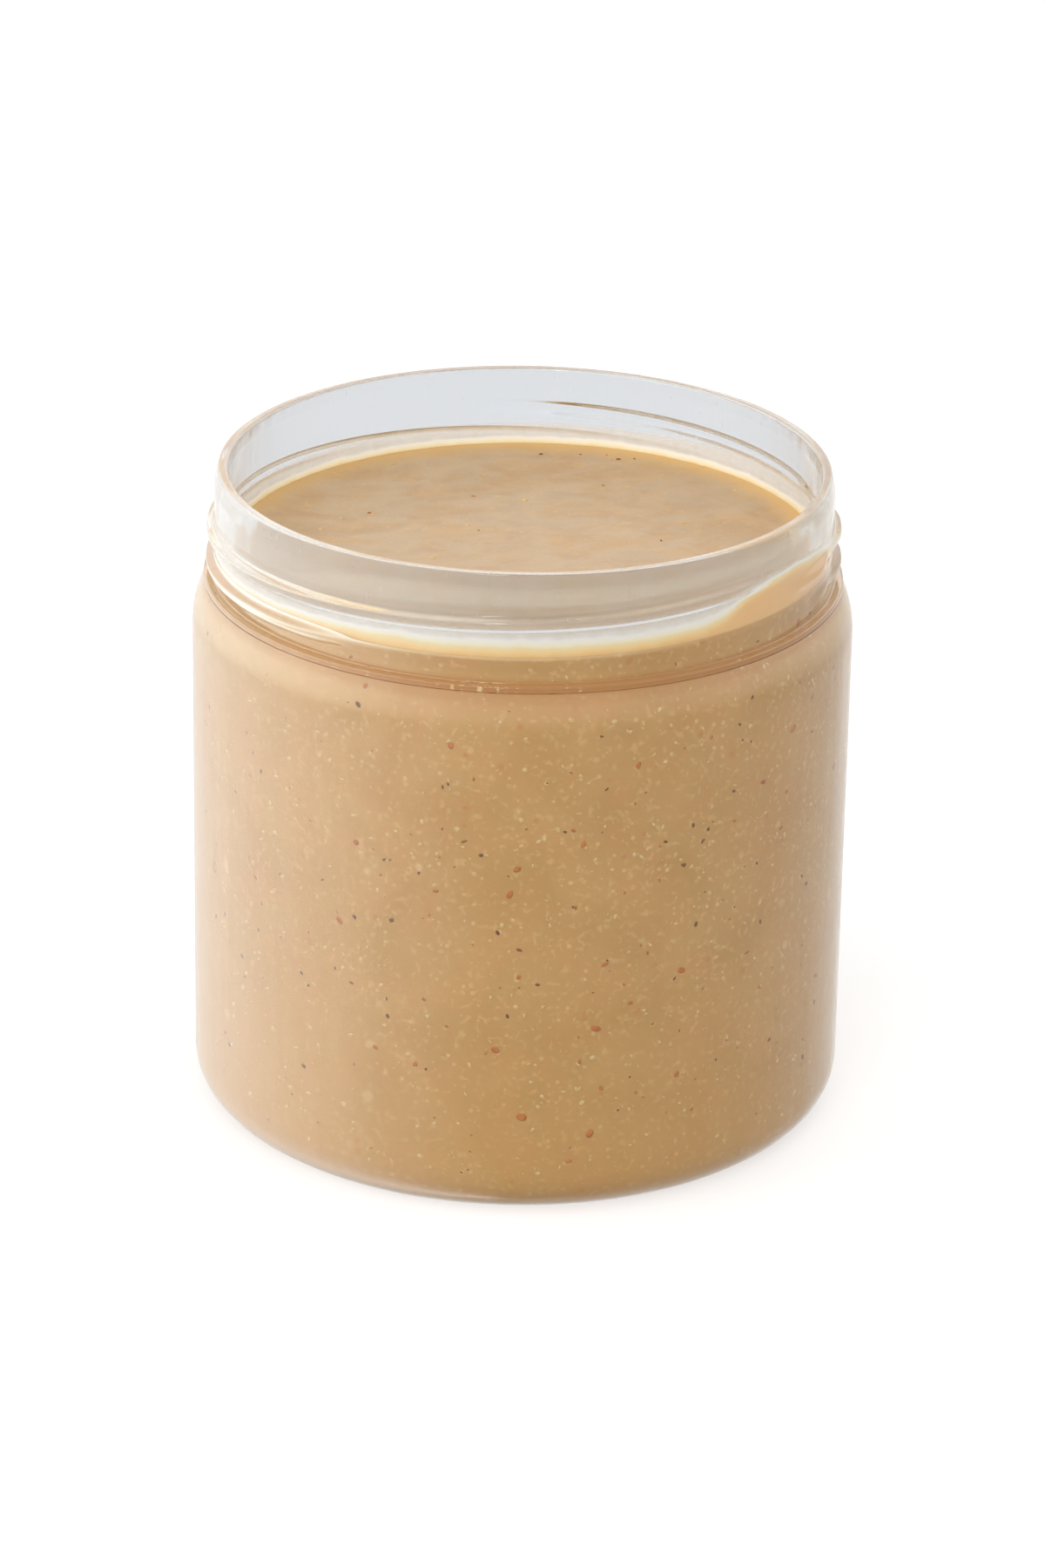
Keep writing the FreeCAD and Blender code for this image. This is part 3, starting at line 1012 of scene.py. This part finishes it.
CAMERA_RISE = 23.217
CAMERA_DISTANCE = 0.7974
CAMERA_AIM = Vector((0, 0, 0.045))
CAMERA_ROLL = math.radians(0.97)
CAMERA_LENS = 128.414
CAMERA_SENSOR = 36.0
# Shift of the view, as shares of its longer side
VIEW_SHIFT = (0.0017611, 0.0026944)


def direction(turn, rise):
    """Unit vector toward a place given by its turn from the camera's side and its height angle."""
    turn, rise = math.radians(turn), math.radians(rise)
    return math.sin(turn) * math.cos(rise), -math.cos(turn) * math.cos(rise), math.sin(rise)


def make_floor():
    """Plain pale floor that keeps the jar's shadow."""
    half = FLOOR_HALF / MM
    corners = [(-half, -half, 0), (half, -half, 0), (half, half, 0), (-half, half, 0)]
    floor = new_object("floor", corners, [[0, 1, 2, 3]])
    nodes = Nodes("floor_paper")
    rays = nodes.add("ShaderNodeLightPath")
    through = nodes.maths("MULTIPLY", rays.outputs["Is Transmission Ray"], FLOOR_THROUGH)
    seen = nodes.maths("MULTIPLY", rays.outputs["Is Camera Ray"], FLOOR_SEEN)
    paper = nodes.add("ShaderNodeBsdfDiffuse", Color=FLOOR_GREY)
    glow = nodes.add("ShaderNodeEmission", Strength=nodes.maths("MAXIMUM", seen, through))
    both = nodes.fill(nodes.add("ShaderNodeAddShader"), {0: paper.outputs[0], 1: glow.outputs[0]})
    floor.data.materials.append(nodes.finish(both.outputs[0]))
    floor.visible_glossy = False


def make_world():
    """A white room: white where it is seen, softer as light, and brightest on its left when mirrored."""
    world = bpy.data.worlds.new("studio")
    bpy.context.scene.world = world
    world.use_nodes = True
    nodes = Nodes(world.node_tree)
    rays = nodes.add("ShaderNodeLightPath")
    seen = nodes.maths("MAXIMUM", rays.outputs["Is Camera Ray"], rays.outputs["Is Transmission Ray"])
    mirror = rays.outputs["Is Glossy Ray"]
    way = nodes.add("ShaderNodeTexCoord").outputs["Generated"]
    level = nodes.vectors("NORMALIZE", nodes.vectors("MULTIPLY", way, LEVEL_ONLY))
    toward_side = nodes.vectors("DOT_PRODUCT", level, direction(*BRIGHT_SIDE))
    lobe = nodes.maths("POWER", nodes.between(toward_side, BRIGHT_SPAN, ALL), BRIGHT_POWER)
    room = nodes.between(nodes.axis(level, "Y"), BACK_SPAN, (ROOM_FRONT, ROOM_BACK))
    above = nodes.between(nodes.axis(way, "Z"), ABOVE_SPAN, (1.0, ROOM_ABOVE))
    room = nodes.maths("MULTIPLY", room, above)
    room = nodes.maths("ADD", room, nodes.maths("MULTIPLY", lobe, BRIGHT_GLOW))
    toward_window = nodes.vectors("DOT_PRODUCT", way, direction(*WINDOW))
    glare = nodes.between(toward_window, WINDOW_SPAN, (0.0, WINDOW_GLARE))
    by_ray = nodes.mix_numbers(mirror, AMBIENT, nodes.maths("ADD", room, glare))
    light = nodes.add(
        "ShaderNodeBackground",
        Color=nodes.mix(mirror, WHITE, ROOM_TINT),
        Strength=nodes.mix_numbers(seen, by_ray, 1.0),
    )
    nodes.finish(light.outputs[0])


def make_lamps():
    """Large soft lamps, which smooth surfaces don't mirror."""
    for name, turn, rise, distance, width, power in LAMPS:
        lamp = bpy.data.lights.new(name, "AREA")
        lamp.shape = "DISK"
        lamp.size = width
        lamp.energy = power
        toward = Vector(direction(turn, rise))
        holder = bpy.data.objects.new(name, lamp)
        holder.location = LAMP_AIM + toward * distance
        holder.rotation_euler = toward.to_track_quat("Z", "Y").to_euler()
        holder.visible_glossy = False
        holder.visible_transmission = False
        bpy.context.scene.collection.objects.link(holder)


def make_camera():
    """A long lens that looks down at the jar."""
    camera = bpy.data.cameras.new("view")
    camera.lens = CAMERA_LENS
    camera.sensor_width = CAMERA_SENSOR
    camera.shift_x, camera.shift_y = VIEW_SHIFT
    holder = bpy.data.objects.new("view", camera)
    back = Vector(direction(0.0, CAMERA_RISE))
    holder.location = CAMERA_AIM + back * CAMERA_DISTANCE
    look = back.to_track_quat("Z", "Y").to_matrix()
    holder.rotation_euler = (look @ Matrix.Rotation(CAMERA_ROLL, 3, "Z")).to_euler()
    bpy.context.scene.collection.objects.link(holder)
    bpy.context.scene.camera = holder


# Light passes both walls of the jar and what lies between them many times
BOUNCES = {
    "max_bounces": 24,
    "glossy_bounces": 16,
    "transmission_bounces": 24,
    "transparent_max_bounces": 24,
}

# Linear colours of the bits, dark and light
FLECK_COLOURS = ((0.60, 0.35, 0.10), (0.70, 0.49, 0.24))
DARK_SKIN_COLOURS = ((0.13, 0.048, 0.010), (0.25, 0.095, 0.022))
RED_SKIN_COLOURS = ((0.40, 0.10, 0.015), (0.54, 0.19, 0.03))


def dress(piece, slot, *materials):
    """Give a piece its materials and hang it on the part's one body; the slot is not used."""
    for material in materials:
        piece.data.materials.append(material)
    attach(piece, "root")


def main():
    """The view and the light, then each piece with its looks and what it replaces."""
    scene = bpy.context.scene
    scene.view_settings.view_transform = "Standard"
    for name, count in BOUNCES.items():
        setattr(scene.cycles, name, count)
    make_camera()
    make_world()
    make_floor()
    make_lamps()

    shell = make_jar()
    dress(shell, "clear_plastic", jar_material())
    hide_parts("jar")
    paste = make_spread()
    dress(paste, "nut_spread")
    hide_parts("spread")
    dress(make_film(), "nut_spread", film_material())
    pale, dark, red = make_bits()
    dress(pale, "nut_spread", bit_material("nut_flecks", *FLECK_COLOURS, 0.5))
    dress(dark, "nut_spread", bit_material("nut_skin_dark", *DARK_SKIN_COLOURS, 0.6))
    dress(red, "nut_spread", bit_material("nut_skin_red", *RED_SKIN_COLOURS, 0.6))


main()
